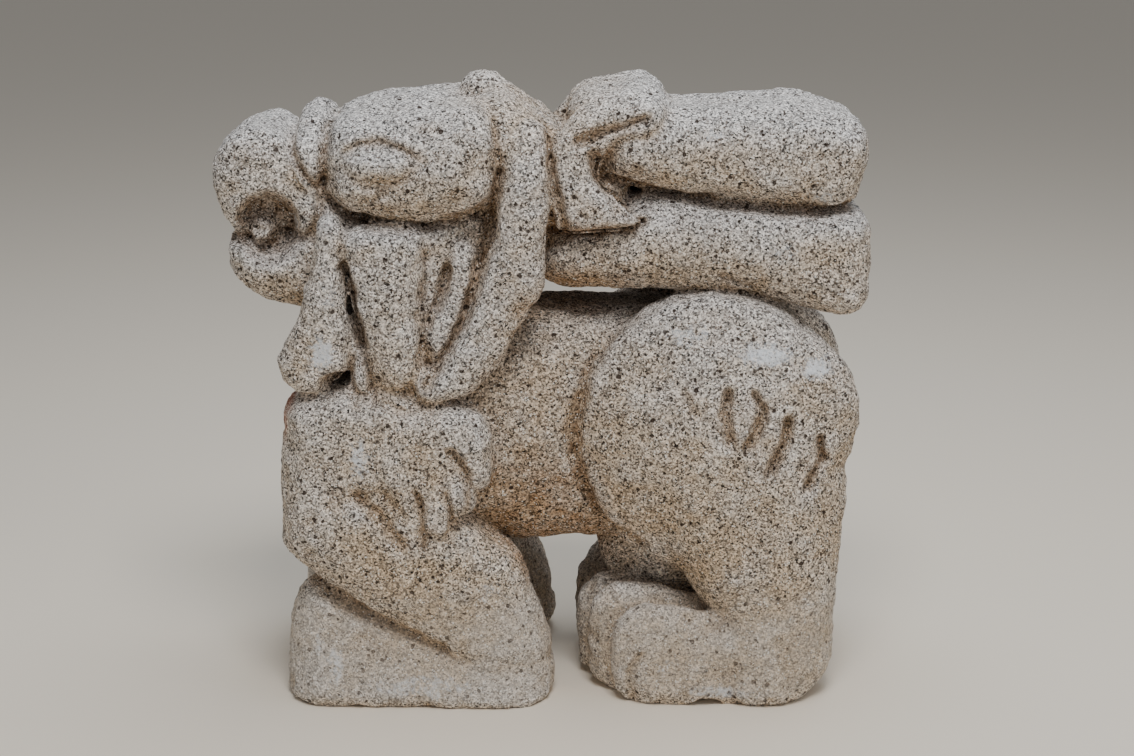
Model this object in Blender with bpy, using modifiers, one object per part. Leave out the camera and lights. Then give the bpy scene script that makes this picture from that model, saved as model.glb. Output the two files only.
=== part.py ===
"""A beast carved from one block of porous stone, a gargoyle that stands on its four feet.

It crouches, facing -X, with its near side towards -Y. Metres, +Z up, origin on the ground under the middle
of the block. The forms are drawn in millimetres on a figure DRAWN_LENGTH long, DRAWN_WIDTH wide and
DRAWN_HEIGHT high, so each of them is a share of the block that the figure is cut from.
"""

from collections import namedtuple

import bmesh
import bpy
import numpy as np
from mathutils import Matrix, Vector

# The block that the beast is cut from
BLOCK_LENGTH = 0.334
BLOCK_WIDTH = 0.154
BLOCK_HEIGHT = 0.320

# The size that the forms below are drawn at, in millimetres
DRAWN_LENGTH = 334
DRAWN_WIDTH = 154
DRAWN_HEIGHT = 320

# How fine the stone is worked: the step of its skin, and how many times it is rubbed down
SKIN_STEP = BLOCK_LENGTH / 140
RUBBING_DOWN_PASSES = 2
FACETS = 9200

# The ground cuts the soles flat, and each hind sole has a small notch in front of the heel
GROUND_MARGIN = 40
SOLE_NOTCH = (84, 66, 0, 9, 16, 4)

STONE_COLOUR = (0.50, 0.44, 0.36, 1.0)
STONE_ROUGHNESS = 0.92

NEAR, FAR = -1, 1
BOTH_SIDES = (NEAR, FAR)
BALL_SEGMENTS = 20
BALL_RINGS = 12

# A ball of stone: its centre, with out counted from the middle plane, and its three radii
Ball = namedtuple("Ball", "x out z rx ry rz")
# A line that a chisel cuts in both sides: its half width, its depth, how near to the middle plane it may go,
# and its (x, z) points
Groove = namedtuple("Groove", "half_width depth out_from points")

EYE_GROOVES = (
    Groove(4.0, 2.2, 40, ((-101, 281), (-94, 289), (-83, 292), (-71, 289), (-60, 279))),
    Groove(4.0, 2.2, 40, ((-101, 281), (-95, 270), (-83, 266), (-70, 270), (-60, 279))),
    Groove(5.0, 2.0, 40, ((-60, 299), (-50, 297))),
)
BROW_GROOVES = (
    Groove(4.5, 7.0, 36, ((-107, 262), (-99, 253), (-80, 249), (-58, 248), (-36, 254), (-25, 262))),
    Groove(4.5, 7.0, 36, ((-25, 262), (-21, 276))),
    Groove(3.6, 4.0, 36, ((-21, 276), (-24, 300))),
)
SNOUT_GROOVES = (
    Groove(4.0, 5.0, 12, ((-125, 312), (-127, 292), (-124, 274), (-119, 262))),
    Groove(4.2, 6.0, 12, ((-103, 312), (-108, 296), (-110, 280), (-108, 266), (-112, 252))),
    Groove(4.0, 5.0, 12, ((-127, 240), (-117, 242), (-112, 252))),
    Groove(5.0, 8.0, 0, ((-150, 239), (-170, 240))),
)
CHEEK_GROOVES = (
    Groove(4.5, 13.0, 38, ((-99, 229), (-96, 218), (-94, 202), (-91, 188))),
    Groove(3.6, 6.0, 30, ((-91, 188), (-88, 174), (-85, 160))),
    Groove(3.6, 4.0, 30, ((-96, 182), (-97, 172), (-94, 158))),
    Groove(6.0, 9.0, 30, ((-110, 167), (-100, 170))),
    Groove(3.6, 4.0, 30, ((-59, 234), (-60, 220), (-62, 204), (-61, 182))),
    Groove(4.2, 8.0, 30, ((-48, 227), (-50, 217), (-54, 207))),
    Groove(3.6, 3.0, 30, ((-54, 207), (-58, 198))),
    Groove(4.5, 7.0, 36, ((-23, 266), (-26, 250), (-29, 236), (-34, 217), (-40, 200), (-50, 182), (-58, 169))),
)
CREST_GROOVES = (
    Groove(4.0, 6.0, 20, ((1, 303), (4, 280), (8, 262), (12, 246))),
    Groove(4.0, 8.0, 20, ((3, 244), (22, 245), (40, 247), (50, 249))),
    Groove(4.0, 7.0, 20, ((34, 268), (58, 264), (90, 257), (122, 254), (142, 254), (162, 259))),
    Groove(4.0, 5.0, 20, ((18, 289), (34, 294), (50, 302), (64, 309))),
    Groove(5.0, 8.0, 20, ((26, 284), (27, 275), (35, 267))),
)
BODY_GROOVES = (
    Groove(5.0, 4.0, 40, ((46, 203), (32, 190), (23, 170), (16, 148), (16, 128), (21, 110), (34, 93), (52, 82))),
    Groove(4.6, 4.0, 40, ((95, 166), (90, 156), (91, 148), (97, 141))),
    Groove(4.6, 4.0, 40, ((105, 167), (110, 157), (108, 147), (101, 139))),
    Groove(4.6, 4.5, 40, ((122, 153), (120, 141), (112, 126))),
    Groove(4.6, 4.5, 40, ((141, 141), (139, 130), (131, 118))),
)
LEG_GROOVES = (
    Groove(6.0, 5.0, 30, ((-138, 80), (-121, 65), (-106, 54), (-74, 40), (-50, 28))),
    Groove(4.0, 3.5, 40, ((-91, 114), (-82, 106), (-77, 97), (-72, 88))),
    Groove(3.6, 4.5, 40, ((-65, 114), (-62, 104), (-60, 86))),
    Groove(3.6, 4.5, 40, ((-48, 117), (-47, 107), (-47, 96))),
    Groove(3.6, 5.0, 40, ((-45, 136), (-40, 127), (-38, 118), (-39, 104))),
    Groove(4.0, 3.0, 40, ((-97, 164), (-82, 162), (-70, 155))),
)
GROOVES = EYE_GROOVES + BROW_GROOVES + SNOUT_GROOVES + CHEEK_GROOVES + CREST_GROOVES + BODY_GROOVES + LEG_GROOVES

# The open nostril: an ellipse sunk in the side of the snout, with a round boss left in it
NOSTRIL_CENTRE = (-141, 246)
NOSTRIL_RADII = (18, 19)
NOSTRIL_DEPTH = 14
BOSS_CENTRE = (-140, 246)
BOSS_RADIUS = 13
BOSS_HEIGHT = 9


def block_scale():
    """The size of the block over the size that the forms are drawn at, along X, Y and Z, in metres."""
    return Vector((BLOCK_LENGTH / DRAWN_LENGTH, BLOCK_WIDTH / DRAWN_WIDTH, BLOCK_HEIGHT / DRAWN_HEIGHT))


def add_ball(bm, ball, side):
    """Adds one ball of stone on a side and returns its vertices."""
    scale = block_scale()
    centre = Vector((ball.x * scale.x, side * ball.out * scale.y, ball.z * scale.z))
    radii = (ball.rx * scale.x, ball.ry * scale.y, ball.rz * scale.z, 1.0)
    placed = Matrix.Translation(centre) @ Matrix.Diagonal(radii)
    made = bmesh.ops.create_uvsphere(
        bm, u_segments=BALL_SEGMENTS, v_segments=BALL_RINGS, radius=1.0, matrix=placed
    )
    return made["verts"]


def add_mass(bm, placed_balls):
    """Wraps balls, each given with its side, in one convex mass."""
    mass = bmesh.new()
    for ball, side in placed_balls:
        add_ball(mass, ball, side)
    hull = bmesh.ops.convex_hull(mass, input=mass.verts[:])
    inside = {v for v in hull["geom_interior"] if isinstance(v, bmesh.types.BMVert)}
    bmesh.ops.delete(mass, geom=list(inside), context="VERTS")
    bmesh.ops.recalc_face_normals(mass, faces=mass.faces[:])
    mesh = bpy.data.meshes.new("mass")
    mass.to_mesh(mesh)
    mass.free()
    bm.from_mesh(mesh)
    bpy.data.meshes.remove(mesh)


def wrap(bm, *balls):
    """One mass on each side of the middle plane."""
    for side in BOTH_SIDES:
        add_mass(bm, [(ball, side) for ball in balls])


def span(bm, *balls):
    """One mass that runs across from side to side."""
    add_mass(bm, [(ball, side) for ball in balls for side in BOTH_SIDES])


def limb(bm, *balls):
    """A limb on each side: a chain of masses, each from one ball to the next."""
    for first, second in zip(balls, balls[1:]):
        wrap(bm, first, second)


def bridge(bm, *balls):
    """A chain of masses that each run across from side to side."""
    for first, second in zip(balls, balls[1:]):
        span(bm, first, second)


def torso(bm):
    """The barrel of the body, from the chest to the rump, and the neck."""
    bridge(
        bm,
        Ball(-74, 18, 140, 46, 34, 56),
        Ball(-10, 18, 138, 50, 34, 62),
        Ball(60, 18, 138, 50, 34, 62),
        Ball(108, 20, 136, 48, 36, 64),
    )
    span(bm, Ball(-34, 20, 228, 24, 24, 38), Ball(-25, 20, 228, 24, 24, 38))


def hind_leg(bm):
    """The round haunch, the shin under it, the long toes of the paw and the stone left between the legs."""
    wrap(
        bm,
        Ball(88, 30, 140, 71, 20, 73),
        Ball(86, 50, 140, 69, 20, 72),
        Ball(92, 60, 139, 52, 17, 54),
        Ball(134, 46, 150, 28, 22, 40),
    )
    thigh = Ball(103, 46, 112, 54, 28, 47)
    ankle = Ball(119, 46, 50, 33, 27, 24)
    limb(bm, thigh, ankle)
    wrap(bm, Ball(92, 60, 139, 52, 17, 54), ankle)
    wrap(bm, ankle, Ball(121, 46, 22, 31, 27, 26), Ball(113, 49, 8, 29, 25, 14))
    toes = ((60, 57, 32), (41, 45, 38), (22, 39, 36))
    for out, tip, knuckle in toes:
        wrap(
            bm,
            Ball(tip, out, knuckle, 22, 12, 20),
            Ball(tip + 1, out, 13, 22, 13, 16),
            Ball(104, out, 30, 24, 12, 22),
            Ball(100, out, 8, 20, 12, 12),
        )
    span(bm, Ball(74, 10, 78, 46, 24, 46), Ball(110, 10, 78, 40, 24, 46))


def fore_leg(bm):
    """The shoulder, the folded shin, the long wedge of the foot and the stone left between the legs."""
    wrap(
        bm,
        Ball(-114, 40, 148, 19, 25, 16),
        Ball(-110, 42, 112, 26, 28, 26),
        Ball(-84, 40, 150, 30, 28, 20),
        Ball(-66, 44, 130, 30, 25, 34),
    )
    wrap(
        bm,
        Ball(-106, 46, 88, 29, 27, 22),
        Ball(-92, 46, 100, 36, 27, 24),
        Ball(-36, 46, 67, 25, 25, 19),
        Ball(-27, 47, 27, 31, 26, 26),
    )
    wrap(bm, Ball(-110, 42, 112, 26, 28, 26), Ball(-107, 46, 88, 28, 27, 22))
    wrap(
        bm,
        Ball(-109, 42, 38, 24, 21, 27),
        Ball(-112, 48, 9, 22, 24, 15),
        Ball(-109, 44, 22, 25, 24, 20),
        Ball(-24, 46, 14, 30, 27, 20),
        Ball(-24, 51, 6, 28, 24, 12),
    )
    span(bm, Ball(-88, 10, 76, 40, 22, 48))


def hand(bm):
    """The hand that is laid on the chest, with its fingers hanging."""
    wrap(
        bm,
        Ball(-86, 50, 142, 22, 19, 18),
        Ball(-46, 55, 146, 15, 16, 12),
        Ball(-39, 56, 134, 12, 15, 14),
        Ball(-70, 56, 117, 16, 16, 12),
        Ball(-46, 57, 118, 10, 15, 10),
    )
    wrap(
        bm,
        Ball(-71, 57, 118, 12, 15, 10),
        Ball(-64, 61, 97, 7, 11, 7),
        Ball(-52, 61, 96, 6, 11, 7),
        Ball(-44, 58, 116, 8, 15, 10),
    )
    limb(bm, Ball(-42, 58, 118, 8, 15, 8), Ball(-41, 59, 108, 6, 13, 6))
    limb(bm, Ball(-35, 55, 140, 9, 16, 14), Ball(-34, 55, 122, 8, 14, 9))


def skull(bm):
    """The block of the head, the heavy brow and the back of the skull."""
    span(bm, Ball(-62, 24, 238, 44, 28, 30), Ball(-62, 24, 192, 42, 28, 32))
    span(
        bm,
        Ball(-95, 34, 289, 13, 24, 14),
        Ball(-88, 40, 272, 20, 24, 20),
        Ball(-50, 44, 277, 26, 23, 28),
        Ball(-36, 42, 287, 15, 22, 22),
        Ball(-36, 46, 268, 14, 18, 13),
        Ball(-60, 14, 289, 36, 26, 22),
    )
    span(bm, Ball(-24, 22, 280, 24, 34, 32), Ball(0, 20, 268, 18, 32, 28))
    add_mass(bm, [(Ball(-30, 0, 311, 12, 14, 9), NEAR)])


def eye(bm):
    """The bulging almond of the eye."""
    wrap(bm, Ball(-86, 56, 279, 13, 10, 9), Ball(-74, 57, 279, 14, 10, 8))


def snout(bm):
    """The flat-sided roll of the snout, with the wrinkle that crosses its root."""
    span(bm, Ball(-143, 35, 273, 23, 12, 23), Ball(-135, 35, 263, 29, 12, 27))
    span(bm, Ball(-136, 32, 231, 24, 14, 24), Ball(-122, 32, 228, 18, 14, 22), Ball(-112, 24, 240, 20, 20, 20))
    span(bm, Ball(-126, 26, 256, 24, 20, 34), Ball(-98, 26, 262, 20, 22, 34))
    collar = (
        Ball(-115, 0, 296, 9, 9, 9),
        Ball(-115, 26, 293, 9, 9, 9),
        Ball(-117, 42, 284, 9, 9, 9),
        Ball(-116, 44, 270, 8, 8, 10),
    )
    span(bm, collar[0], collar[1])
    limb(bm, *collar[1:])


def jowls(bm):
    """The hanging lip, the fang and the cheek flap, on each side of the mouth."""
    limb(bm, Ball(-106, 50, 244, 7, 12, 10), Ball(-108, 52, 224, 8, 12, 10), Ball(-110, 52, 204, 12, 13, 12))
    wrap(
        bm,
        Ball(-110, 52, 200, 13, 13, 12),
        Ball(-124, 50, 180, 9, 12, 10),
        Ball(-118, 52, 176, 12, 13, 9),
        Ball(-107, 52, 183, 10, 13, 12),
    )
    limb(bm, Ball(-91, 46, 200, 5, 9, 8), Ball(-90, 50, 172, 8, 11, 12))
    wrap(
        bm,
        Ball(-89, 50, 239, 11, 15, 11),
        Ball(-74, 52, 240, 14, 14, 11),
        Ball(-79, 54, 212, 17, 14, 14),
    )
    wrap(bm, Ball(-79, 54, 212, 17, 14, 14), Ball(-74, 53, 182, 14, 13, 19))
    wrap(bm, Ball(-40, 46, 224, 9, 12, 20), Ball(-52, 46, 190, 10, 12, 14))
    span(bm, Ball(-104, 22, 190, 16, 22, 34))


def mane(bm):
    """The lock that falls from the back of the skull and sweeps forward under the jaw."""
    limb(bm, Ball(-8, 42, 286, 13, 13, 14), Ball(-9, 50, 268, 13, 14, 14), Ball(-11, 55, 242, 13, 13, 14))
    wrap(
        bm,
        Ball(-11, 55, 242, 13, 13, 14),
        Ball(-10, 56, 221, 12, 12, 12),
        Ball(-22, 55, 213, 14, 12, 12),
    )
    limb(
        bm,
        Ball(-22, 55, 209, 15, 12, 12),
        Ball(-32, 55, 187, 13, 12, 12),
        Ball(-44, 54, 172, 13, 12, 10),
        Ball(-56, 54, 167, 10, 12, 9),
    )


def crest(bm):
    """The two long blocks laid back over the body, and the strap that holds them to the skull."""
    span(
        bm,
        Ball(50, 26, 284, 22, 24, 20),
        Ball(130, 27, 285, 22, 25, 22),
        Ball(151, 30, 287, 14, 20, 14),
        Ball(148, 31, 267, 12, 19, 12),
    )
    bridge(
        bm,
        Ball(18, 18, 229, 24, 27, 18),
        Ball(58, 24, 237, 30, 27, 25),
        Ball(112, 26, 235, 26, 27, 25),
    )
    span(
        bm,
        Ball(112, 26, 235, 26, 27, 25),
        Ball(153, 30, 242, 13, 22, 12),
        Ball(152, 30, 214, 14, 22, 15),
    )
    span(bm, Ball(8, 18, 262, 20, 26, 30), Ball(24, 18, 262, 20, 26, 30))
    span(bm, Ball(28, 28, 299, 15, 22, 14), Ball(49, 28, 301, 15, 24, 15))
    limb(bm, Ball(28, 40, 298, 14, 13, 12), Ball(20, 43, 285, 14, 12, 14), Ball(16, 46, 266, 13, 11, 16))
    wrap(
        bm,
        Ball(16, 47, 266, 12, 9, 12),
        Ball(14, 47, 251, 8, 9, 7),
        Ball(43, 49, 249, 6, 7, 3),
    )


def rough_out():
    """Joins every mass of the beast in one mesh."""
    bm = bmesh.new()
    for form in (torso, hind_leg, fore_leg, hand, skull, eye, snout, jowls, mane, crest):
        form(bm)
    mesh = bpy.data.meshes.new("beast_masses")
    bm.to_mesh(mesh)
    bm.free()
    return mesh


def way_from_line(x, z, points):
    """How far each of many (x, z) places is from a line through points."""
    nearest = np.full(x.shape, np.inf)
    for (x0, z0), (x1, z1) in zip(points, points[1:]):
        along_x, along_z = x1 - x0, z1 - z0
        share = ((x - x0) * along_x + (z - z0) * along_z) / (along_x**2 + along_z**2)
        share = np.clip(share, 0.0, 1.0)
        nearest = np.minimum(nearest, np.hypot(x - x0 - share * along_x, z - z0 - share * along_z))
    return nearest


def bowl(way, half_width):
    """A smooth hollow: one in the middle, falling to nothing at its half width."""
    share = np.clip(way / half_width, 0.0, 1.0)
    return (1.0 - share**2) ** 2


def carve(mesh):
    """Cuts the grooves and the nostrils in both sides of the figure."""
    count = len(mesh.vertices)
    places = np.empty(count * 3)
    facing = np.empty(count * 3)
    mesh.vertices.foreach_get("co", places)
    mesh.vertices.foreach_get("normal", facing)
    places = places.reshape(-1, 3)
    facing = facing.reshape(-1, 3)
    drawn = places / np.array(block_scale())
    side = np.where(drawn[:, 1] < 0.0, NEAR, FAR)
    out = np.abs(drawn[:, 1])
    turned_out = np.clip(facing[:, 1] * side * 2.5, 0.0, 1.0)

    depth = np.zeros(count)
    for groove in GROOVES:
        way = way_from_line(drawn[:, 0], drawn[:, 2], groove.points)
        cut = groove.depth * bowl(way, groove.half_width)
        depth = np.maximum(depth, np.clip(cut, 0.0, np.clip(out - groove.out_from, 0.0, None)))
    across = (drawn[:, 0] - NOSTRIL_CENTRE[0]) / NOSTRIL_RADII[0]
    up = (drawn[:, 2] - NOSTRIL_CENTRE[1]) / NOSTRIL_RADII[1]
    hollow = NOSTRIL_DEPTH * np.clip(1.6 * bowl(np.hypot(across, up), 1.0), 0.0, 1.0)
    from_boss = np.hypot(drawn[:, 0] - BOSS_CENTRE[0], drawn[:, 2] - BOSS_CENTRE[1])
    hollow -= BOSS_HEIGHT * bowl(from_boss, BOSS_RADIUS)
    depth = np.maximum(depth, hollow)
    drawn[:, 1] -= side * depth * turned_out
    mesh.vertices.foreach_set("co", (drawn * np.array(block_scale())).ravel())
    mesh.update()


def fit_to_block(mesh):
    """Stretches the figure, by a hair, until it fills its block to the faces."""
    places = np.empty(len(mesh.vertices) * 3)
    mesh.vertices.foreach_get("co", places)
    places = places.reshape(-1, 3)
    low, high = places.min(axis=0), places.max(axis=0)
    middle = (low + high) / 2
    places[:, 0] = (places[:, 0] - middle[0]) * BLOCK_LENGTH / (high[0] - low[0])
    places[:, 1] = (places[:, 1] - middle[1]) * BLOCK_WIDTH / (high[1] - low[1])
    places[:, 2] *= BLOCK_HEIGHT / high[2]
    mesh.vertices.foreach_set("co", places.ravel())
    mesh.update()


def ground_cutter():
    """The mesh that takes away all that is under the ground, and the notches in the hind soles."""
    scale = block_scale()
    bm = bmesh.new()
    reach = Vector((DRAWN_LENGTH + GROUND_MARGIN, DRAWN_WIDTH + GROUND_MARGIN, GROUND_MARGIN))
    placed = Matrix.Translation((0.0, 0.0, -GROUND_MARGIN / 2 * scale.z))
    size = (reach.x * scale.x, reach.y * scale.y, reach.z * scale.z, 1.0)
    bmesh.ops.create_cube(bm, size=1.0, matrix=placed @ Matrix.Diagonal(size))
    mesh = bpy.data.meshes.new("ground")
    bm.to_mesh(mesh)
    bm.free()
    return mesh


def notch_cutter():
    """The mesh of the notches in the hind soles."""
    bm = bmesh.new()
    for side in BOTH_SIDES:
        add_ball(bm, Ball(*SOLE_NOTCH), side)
    mesh = bpy.data.meshes.new("sole_notches")
    bm.to_mesh(mesh)
    bm.free()
    return mesh


def stone_material():
    stone = bpy.data.materials.new("porous_stone")
    stone.use_nodes = True
    shader = stone.node_tree.nodes["Principled BSDF"]
    shader.inputs["Base Color"].default_value = STONE_COLOUR
    shader.inputs["Roughness"].default_value = STONE_ROUGHNESS
    return stone


def apply_modifiers(obj):
    """Makes the mesh that the object's modifiers leave its own."""
    graph = bpy.context.evaluated_depsgraph_get()
    made = bpy.data.meshes.new_from_object(obj.evaluated_get(graph))
    old = obj.data
    obj.modifiers.clear()
    obj.data = made
    bpy.data.meshes.remove(old)


def main():
    for obj in list(bpy.data.objects):
        bpy.data.objects.remove(obj)
    collection = bpy.data.collections.new("stone_gargoyle")
    cutters = bpy.data.collections.new("cutters")
    bpy.context.scene.collection.children.link(collection)
    bpy.context.scene.collection.children.link(cutters)
    beast = bpy.data.objects.new("carved_beast", rough_out())
    collection.objects.link(beast)

    remesh = beast.modifiers.new("one skin", "REMESH")
    remesh.mode = "VOXEL"
    remesh.voxel_size = SKIN_STEP
    rub = beast.modifiers.new("rub down", "SMOOTH")
    rub.iterations = RUBBING_DOWN_PASSES
    apply_modifiers(beast)
    carve(beast.data)
    faces = 2 * len(beast.data.polygons)
    coarsen = beast.modifiers.new("fewer facets", "DECIMATE")
    coarsen.ratio = FACETS / faces
    apply_modifiers(beast)
    fit_to_block(beast.data)
    for cutter_mesh in (ground_cutter(), notch_cutter()):
        cutter = bpy.data.objects.new(cutter_mesh.name, cutter_mesh)
        cutter.hide_render = True
        cutter.display_type = "WIRE"
        cutters.objects.link(cutter)
        cut = beast.modifiers.new("cut by " + cutter.name, "BOOLEAN")
        cut.operation = "DIFFERENCE"
        cut.solver = "EXACT"
        cut.object = cutter
    beast.data.materials.append(stone_material())


main()
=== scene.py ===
"""The looks of a beast carved from one block of porous stone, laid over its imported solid.

The forms are drawn in millimetres, with x along the beast from its snout at -x to its tail, z up from the
ground, and out counted from the middle plane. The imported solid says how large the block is.
"""

import logging
import math
from collections.abc import Sequence
from dataclasses import dataclass, field
from enum import Enum

import bpy
import numpy as np
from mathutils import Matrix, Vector


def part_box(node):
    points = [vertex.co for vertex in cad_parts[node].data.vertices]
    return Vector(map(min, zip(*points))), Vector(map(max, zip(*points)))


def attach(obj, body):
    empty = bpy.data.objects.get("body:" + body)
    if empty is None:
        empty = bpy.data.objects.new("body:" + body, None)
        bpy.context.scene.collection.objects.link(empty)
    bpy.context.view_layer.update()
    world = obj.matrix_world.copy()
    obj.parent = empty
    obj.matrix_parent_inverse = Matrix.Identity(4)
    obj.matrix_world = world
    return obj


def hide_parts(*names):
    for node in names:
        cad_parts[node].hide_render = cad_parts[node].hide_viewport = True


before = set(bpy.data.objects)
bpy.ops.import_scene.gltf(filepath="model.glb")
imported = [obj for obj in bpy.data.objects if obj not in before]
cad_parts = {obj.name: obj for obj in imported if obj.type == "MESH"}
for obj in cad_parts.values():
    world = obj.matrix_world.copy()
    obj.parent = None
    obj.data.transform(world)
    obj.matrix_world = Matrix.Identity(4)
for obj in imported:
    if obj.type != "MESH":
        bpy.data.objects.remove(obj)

LOG = logging.getLogger("stone_beast")
NODE = "carved_beast"
SLOT = "porous_stone"
MM = 0.001

Point = tuple[float, float]
Colour = tuple[float, float, float, float]
Triple = tuple[float, float, float]


class Side(Enum):
    """The two sides of the beast, by the sign of y."""

    NEAR = -1
    FAR = 1


@dataclass(frozen=True)
class Ball:
    """A ball of stone, in drawn millimetres: its centre, and its radii along x, y and z."""

    x: float
    out: float
    z: float
    rx: float
    ry: float
    rz: float


@dataclass(frozen=True)
class Groove:
    """A line cut in both sides by a chisel, in drawn millimetres.

    floor is how near to the middle plane the cut may go.
    """

    half_width: float
    depth: float
    floor: float
    points: tuple[Point, ...]


@dataclass(frozen=True)
class Dent:
    """A round hollow in both sides, or with a negative depth a swelling, in drawn millimetres."""

    x: float
    z: float
    rx: float
    rz: float
    depth: float
    steep: float = 1.0


@dataclass(frozen=True)
class Block:
    """The block that the figure fills, and the size that its forms are drawn at."""

    low: Vector
    high: Vector
    drawn_length: float = 334.0
    drawn_width: float = 154.0
    drawn_height: float = 320.0

    def scale(self) -> np.ndarray:
        """Metres in a drawn millimetre, along x, y and z."""
        size = self.high - self.low
        drawn = (self.drawn_length, self.drawn_width, self.drawn_height)
        return np.array([s / d for s, d in zip(size, drawn)])

    def place(self, ball: Ball, side: Side) -> tuple[Vector, Vector]:
        """Where a ball is in the frame.

        Args:
            ball: The ball, in drawn millimetres.
            side: The side that it is on.

        Returns:
            The ball's centre and its three radii, in metres.
        """
        scale = Vector(self.scale())
        centre = Vector((ball.x, side.value * ball.out, ball.z)) * scale
        return centre, Vector((ball.rx, ball.ry, ball.rz)) * scale


def deselect_all() -> None:
    """Leaves nothing selected, so that an operator acts on new work alone."""
    bpy.ops.object.select_all(action="DESELECT")


def make_active(piece: bpy.types.Object) -> None:
    """Makes a piece the one selected and active object."""
    deselect_all()
    piece.select_set(True)
    bpy.context.view_layer.objects.active = piece


def apply_modifier(piece: bpy.types.Object, kind: str, **settings: object) -> None:
    """Adds a modifier to a piece and applies it.

    Args:
        piece: The object that it works on.
        kind: The modifier's type.
        **settings: Values for the modifier's own settings.
    """
    make_active(piece)
    modifier = piece.modifiers.new(kind.lower(), kind)
    for name, value in settings.items():
        setattr(modifier, name, value)
    bpy.ops.object.modifier_apply(modifier=modifier.name)


@dataclass
class Mason:
    """Wraps balls of stone in convex masses and keeps each mass until they are joined."""

    block: Block
    segments: int = 28
    rings: int = 18
    masses: list[bpy.types.Object] = field(default_factory=list)

    def add_mass(self, balls: Sequence[tuple[Ball, Side]]) -> None:
        """Wraps balls in one convex mass.

        Args:
            balls: Each ball with the side that it is on.
        """
        deselect_all()
        spheres = []
        for ball, side in balls:
            centre, radii = self.block.place(ball, side)
            bpy.ops.mesh.primitive_uv_sphere_add(
                segments=self.segments, ring_count=self.rings, radius=1.0, location=centre, scale=radii
            )
            spheres.append(bpy.context.active_object)
        for sphere in spheres:
            sphere.select_set(True)
        if len(spheres) > 1:
            bpy.ops.object.join()
        mass = bpy.context.active_object
        bpy.ops.object.mode_set(mode="EDIT")
        bpy.ops.mesh.select_all(action="SELECT")
        bpy.ops.mesh.convex_hull()
        bpy.ops.object.mode_set(mode="OBJECT")
        self.masses.append(mass)

    def wrap(self, *balls: Ball) -> None:
        """Makes one mass on each side."""
        for side in Side:
            self.add_mass([(ball, side) for ball in balls])

    def span(self, *balls: Ball) -> None:
        """Makes one mass that runs across from side to side."""
        self.add_mass([(ball, side) for ball in balls for side in Side])

    def limb(self, *balls: Ball) -> None:
        """Makes a chain of masses on each side, each from one ball to the next."""
        for first, second in zip(balls, balls[1:]):
            self.wrap(first, second)

    def bridge(self, *balls: Ball) -> None:
        """Makes a chain of masses that each run across from side to side."""
        for first, second in zip(balls, balls[1:]):
            self.span(first, second)

    def joined(self, name: str) -> bpy.types.Object:
        """Joins every mass in one object.

        Args:
            name: The name of the object.

        Returns:
            The object, at the origin.
        """
        deselect_all()
        for mass in self.masses:
            mass.select_set(True)
        bpy.context.view_layer.objects.active = self.masses[0]
        bpy.ops.object.join()
        piece = bpy.context.active_object
        bpy.ops.object.transform_apply(location=True, rotation=True, scale=True)
        piece.name = name
        self.masses = []
        return piece


@dataclass(frozen=True)
class Torso:
    """The barrel of the body, from the chest to the rump, and the neck."""

    grooves: tuple[Groove, ...] = ()
    dents: tuple[Dent, ...] = ()

    def rough_out(self, mason: Mason) -> None:
        """Adds the torso's masses."""
        mason.bridge(
            Ball(-74, 18, 140, 46, 34, 56),
            Ball(-10, 18, 138, 50, 34, 62),
            Ball(60, 18, 138, 50, 34, 62),
            Ball(108, 20, 136, 48, 36, 64),
        )
        mason.span(Ball(-34, 20, 228, 24, 24, 38), Ball(-25, 20, 228, 24, 24, 38))


@dataclass(frozen=True)
class HindLeg:
    """The round haunch with its claw cuts, the shin, and the paw with its long toes.

    Each toe has how far out it is, where its tip is along x, and how high its knuckle is.
    """

    toes: tuple[tuple[float, float, float], ...] = ((60, 57, 32), (41, 45, 38), (22, 39, 36))
    grooves: tuple[Groove, ...] = (
        Groove(5.0, 4.0, 40, ((46, 203), (32, 190), (23, 170), (16, 148), (16, 128), (21, 110), (34, 93), (52, 82))),
        Groove(3.8, 6.6, 40, ((93, 168), (91, 157), (94, 143))),
        Groove(3.8, 6.4, 40, ((106, 167), (111, 158), (108, 149), (103, 140))),
        Groove(4.4, 7.2, 40, ((123, 154), (122, 141), (114, 125))),
        Groove(4.2, 7.0, 40, ((140, 142), (142, 132), (134, 117))),
        Groove(4.0, 2.0, 40, ((72, 167), (76, 157))),
        Groove(3.2, 2.2, 40, ((50, 28), (44, 17), (46, 3))),
    )
    dents: tuple[Dent, ...] = (
        Dent(100, 153, 16, 18, 1.0),
        Dent(118, 138, 13, 18, 1.2),
        Dent(137, 129, 10, 14, 1.0),
        Dent(89, 41, 10, 8, 3.0),
    )

    def rough_out(self, mason: Mason) -> None:
        """Adds the masses of the hind legs and of the stone left between them."""
        face = Ball(92, 60, 139, 52, 17, 54)
        ankle = Ball(119, 46, 50, 33, 27, 24)
        mason.wrap(
            Ball(88, 30, 140, 71, 20, 73), Ball(86, 50, 140, 69, 20, 72), face, Ball(134, 46, 150, 28, 22, 40)
        )
        mason.limb(Ball(103, 46, 112, 54, 28, 47), ankle)
        mason.wrap(face, ankle)
        mason.wrap(ankle, Ball(121, 46, 22, 31, 27, 26), Ball(113, 51, 7, 29, 26, 12))
        for out, tip, knuckle in self.toes:
            mason.wrap(
                Ball(tip, out, knuckle, 22, 12, 20),
                Ball(tip + 1, out, 11, 22, 15, 14),
                Ball(100, out, 25, 22, 12, 20),
                Ball(100, out, 8, 20, 12, 12),
            )
        mason.span(Ball(74, 10, 78, 46, 24, 46), Ball(110, 10, 78, 40, 24, 46))


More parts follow.
